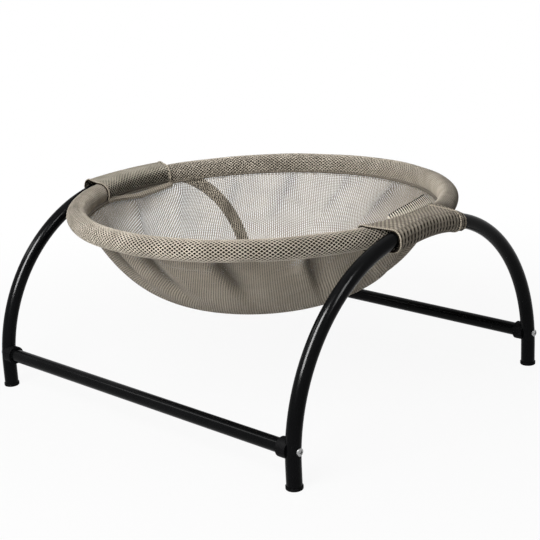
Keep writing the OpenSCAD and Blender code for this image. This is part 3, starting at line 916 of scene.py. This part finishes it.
def hang(piece):
    """The piece's placement is baked into its mesh, and it stays where it is."""
    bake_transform(piece)


def sleeve_piece(name, shape, start, stop, ribbed):
    """The stretch of a sleeve from start to stop along the arch. The cloth lies with its
    ribs round the arch (ribbed is their material), or askew with staggered cells."""
    def surface(u, v):
        return shape.at(u + start, v)

    def shade(u, v):
        """Painted shade on the yarns down the sides, which face down, away from the light."""
        return 1 - smooth(surface(u, v)[1][:, 2], 0.0, 0.7)

    def stretch(u, v):
        """The cloth is slack on the roof and pulled open down the sides."""
        roof = smooth(surface(u, v)[1][:, 2], 0.25, 0.95)
        across = 1.2 - (0.9 if ribbed else 0.5) * roof
        return np.stack([across, 0 * across + 1 if ribbed else across], 1)

    size = (stop - start, shape.round)
    if ribbed:
        cells = round(size[0] / RIB_PITCH), round(size[1] / RIB_CELL)
        piece = lattice(name, surface, cells, size, ribbed, hole=(0.38, 0.88), depth=1.2,
                        stretch=stretch, pits=lambda u, v: (0.52 * shade(u, v), 0.48, 0.95),
                        rib=0.2, staggered=False)
    else:
        cells = round(size[0] / ASKEW_CELL[0]), round(size[1] / ASKEW_CELL[1])
        piece = lattice(name, surface, cells, size, sleeve_cloth, hole=(0.72, 0.72), depth=1.0,
                        stretch=stretch, pits=lambda u, v: (0.66 * shade(u, v), 0.42, 1.0))
    hang(piece)
    return piece


def sleeve_edge(name, shape, u, lift, width, material):
    """A yarn along an end of the sleeve, or the dark strip below it that paints the shadow under
    the edge, u millimetres along the arch.
    """
    v = np.linspace(0, shape.round, EDGE_STEPS)
    path, up = shape.at(np.full_like(v, u), v)
    out = np.cross(unit(np.gradient(path, axis=0)), up)
    piece = ribbon(name, path + up * lift, out, up, width, EDGE_THICK, material)
    hang(piece)
    return piece


def rim_line(y, turn, r, side):
    """Points on the rim's section at places y: direction turn in degrees, r off the axis."""
    around = np.arcsin(y / RIM_R)
    out = np.stack([side * np.cos(around), np.sin(around), 0 * y], 1)
    turn = math.radians(turn)
    lift = out * math.cos(turn) + np.array([0, 0, 1.0]) * math.sin(turn)
    return out * RIM_R + np.array([0, 0, RIM_Z]) + lift * np.reshape(r, (-1, 1)), lift


def sleeve_hem(side_name, side, front, long):
    """The hem that holds a sleeve's inner end, and its stitches."""
    half = math.asin(front / RIM_R), math.asin((front + long) / RIM_R)
    lo, hi = half if side > 0 else (math.pi - half[1], math.pi - half[0])
    a = np.linspace(lo, hi, HEM_STEPS)
    out = np.interp(a, np.linspace(lo, hi, len(HEM_OUT[side_name])), HEM_OUT[side_name])
    hem = seam_ring(f"{side_name}_hem", out, HEM_OFF, HEM_WIDE, HEM_THICK, band, lo, hi, HEM_STEPS)
    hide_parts(f"{side_name}_sleeve_hem")
    path = seam_point(a, out + HEM_STITCH_OUT, HEM_STITCH_OFF)
    up = seam_point(a, out + HEM_STITCH_OUT, HEM_STITCH_OFF + 1) - path
    row = stitches(f"{side_name}_hem_stitches", path, up, *HEM_STITCH, thread)
    for piece in (hem, row):
        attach(piece, "hammock")
    return [hem, row]


def hem_fold(side):
    """The upright fold on the right hem, coloured as a painted highlight, and the dark teeth of
    painted shade along its upper edge.
    """
    y = np.linspace(FOLD_AT[0], FOLD_AT[-1], FOLD_STEPS)
    tall = np.interp(y, FOLD_AT, FOLD_HEIGHTS)
    foot, _ = rim_line(y, FOLD_FOOT, ON_RIM_R + CLOTH_GROW - FOLD_SINK, side)
    _, lean = rim_line(y, FOLD_LEAN, 0.0, side)
    path = foot + lean * tall[:, None] / 2
    along = unit(np.gradient(path, axis=0))
    fold = ribbon("right_hem_fold", path, lean, np.cross(along, lean), tall, FOLD_THICK,
                  lit_fold_cloth)
    edge = foot + lean * (tall[:, None] - TEETH_SINK)
    # Dark teeth along the fold's upper edge: painted shade.
    teeth = stitches("right_hem_teeth", edge, lean, *TEETH, painted_shadow)
    for piece in (fold, teeth):
        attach(piece, "hammock")
    return [fold, teeth]


for side_name, (side, front, skew, long, follow, slacks) in SLEEVES.items():
    shape = Sleeve(side, front, skew, long, follow, slacks, CLOTH_GROW)
    ribbed = None
    if side_name == "right":
        ribbed = strand_material("ribbed_mesh", scaled(TAUPE, 0.92), scaled(TAUPE_DEEP, 0.84), PIT,
                                 (RIB_PITCH, shape.roof_end(), RIB_SLANT))
    cloth_piece = sleeve_piece(f"{side_name}_sleeve_cloth", shape, 0.0, long, ribbed)
    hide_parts(f"{side_name}_sleeve")
    trims = []
    for end, at, way in (("front", 0.0, 1), ("rear", long, -1)):
        trims.append(sleeve_edge(f"{side_name}_{end}_edge", shape, at + way * EDGE_IN,
                                 EDGE_LIFT, EDGE_WIDE, edge_yarn))
        # Below each end a dark strip: painted shadow of the gap under the edge.
        trims.append(sleeve_edge(f"{side_name}_{end}_shadow_strip", shape, at,
                                 SHADOW_STRIP_LIFT, SHADOW_STRIP_WIDE, painted_shadow))
    trims += sleeve_hem(side_name, side, front, long)
    if side_name == "right":
        trims += hem_fold(side)
        cuff_end = long + CUFF_OUT
        inner = Sleeve(side, front, skew, cuff_end, follow, slacks, CLOTH_GROW - CUFF_CLOSER)
        trims.append(sleeve_piece("right_sleeve_cuff", inner, long - CUFF_UNDER, cuff_end,
                                  ribbed))


# Stage

def white_floor():
    """Pale floor: it keeps the shadow near the object and is plain white further off."""
    s = Shader(bpy.data.materials.new("studio_floor"))
    apart = s.add("VectorMath", {0: s.place()}, operation="LENGTH").outputs["Value"]
    share = s.math("MULTIPLY", s.seen(), s.span(apart, 0.30, 0.85, 0.92, 1.0))
    diffuse = s.add("BsdfDiffuse", {"Color": (0.55, 0.55, 0.55, 1.0)})
    s.blend(share, diffuse, s.add("Emission", {"Color": WHITE, "Strength": 1.0}))
    return s.owner


FLOOR = 40.0
corners = [(-FLOOR, -FLOOR, 0), (FLOOR, -FLOOR, 0), (FLOOR, FLOOR, 0), (-FLOOR, FLOOR, 0)]
floor_mesh = bpy.data.meshes.new("floor")
floor_mesh.from_pydata(corners, [], [(0, 1, 2, 3)])
floor = bpy.data.objects.new("floor", floor_mesh)
bpy.context.scene.collection.objects.link(floor)
floor.data.materials.append(white_floor())

# The room's light on the object is dim, and its background is plain white to the eye.
AMBIENT = 0.24
world = bpy.data.worlds.new("studio")
bpy.context.scene.world = world
sky = Shader(world, "OutputWorld")
dim, white = (sky.add("Background", {"Color": WHITE, "Strength": strength})
              for strength in (AMBIENT, 1.0))
sky.blend(sky.seen(), dim, white)


def lamp(name, place, size, power, aim=(0.0, 0.0, 0.12), diffuse=True, gloss=True):
    """A soft box that lights matt surfaces (diffuse), shows in glossy ones (gloss), or both."""
    data = bpy.data.lights.new(name, "AREA")
    data.shape = "RECTANGLE"
    data.size, data.size_y = size
    data.energy = power
    obj = bpy.data.objects.new(name, data)
    obj.location = place
    obj.rotation_euler = (Vector(aim) - Vector(place)).to_track_quat("-Z", "Y").to_euler()
    obj.visible_diffuse = diffuse
    obj.visible_glossy = gloss
    bpy.context.scene.collection.objects.link(obj)


# A soft key light, the soft boxes that show as streaks on the tubes, a low fill, a wide light from
# above and one from behind.
lamp("key", (0.20, -1.12, 1.05), (0.80, 0.85), 20.0, gloss=False)
lamp("key_streak", (0.11, -1.088, 1.089), (0.50, 0.95), 220.0, diffuse=False)
lamp("side_streak", (1.25, -0.15, 1.30), (0.30, 0.60), 30.0, diffuse=False)
lamp("bar_streak", (-0.88, -0.71, 1.03), (0.70, 0.22), 5.0, aim=(-0.88, 0.0, 0.12),
     diffuse=False)
lamp("fill", (0.50, -1.30, 0.45), (0.50, 0.50), 4.6, gloss=False)
lamp("top", (0.1, 0.2, 2.0), (1.6, 1.6), 4.5)
lamp("rear", (-0.6, 1.3, 0.8), (0.8, 0.8), 7.0, gloss=False)

# Camera: solved from the photograph together with the frame.
FOCAL_PX = 1271.768
PHOTO_PX = 540
EYE = (0.979333, -1.014366, 0.544778)
PITCH, HEADING, ROLL = 0.287926, -0.764373, -0.050042
forward = Vector((math.sin(HEADING) * math.cos(PITCH), math.cos(HEADING) * math.cos(PITCH),
                  -math.sin(PITCH)))
level = Vector((math.cos(HEADING), -math.sin(HEADING), 0.0))
over = level.cross(forward)
right = math.cos(ROLL) * level + math.sin(ROLL) * over
upward = math.cos(ROLL) * over - math.sin(ROLL) * level
camera_data = bpy.data.cameras.new("camera")
camera_data.sensor_width = 36.0
camera_data.lens = FOCAL_PX / PHOTO_PX * camera_data.sensor_width
camera = bpy.data.objects.new("camera", camera_data)
bpy.context.scene.collection.objects.link(camera)
turn = Matrix((right, upward, -forward)).transposed().to_4x4()
camera.matrix_world = Matrix.Translation(EYE) @ turn
bpy.context.scene.camera = camera
bpy.context.scene.view_settings.view_transform = "Standard"
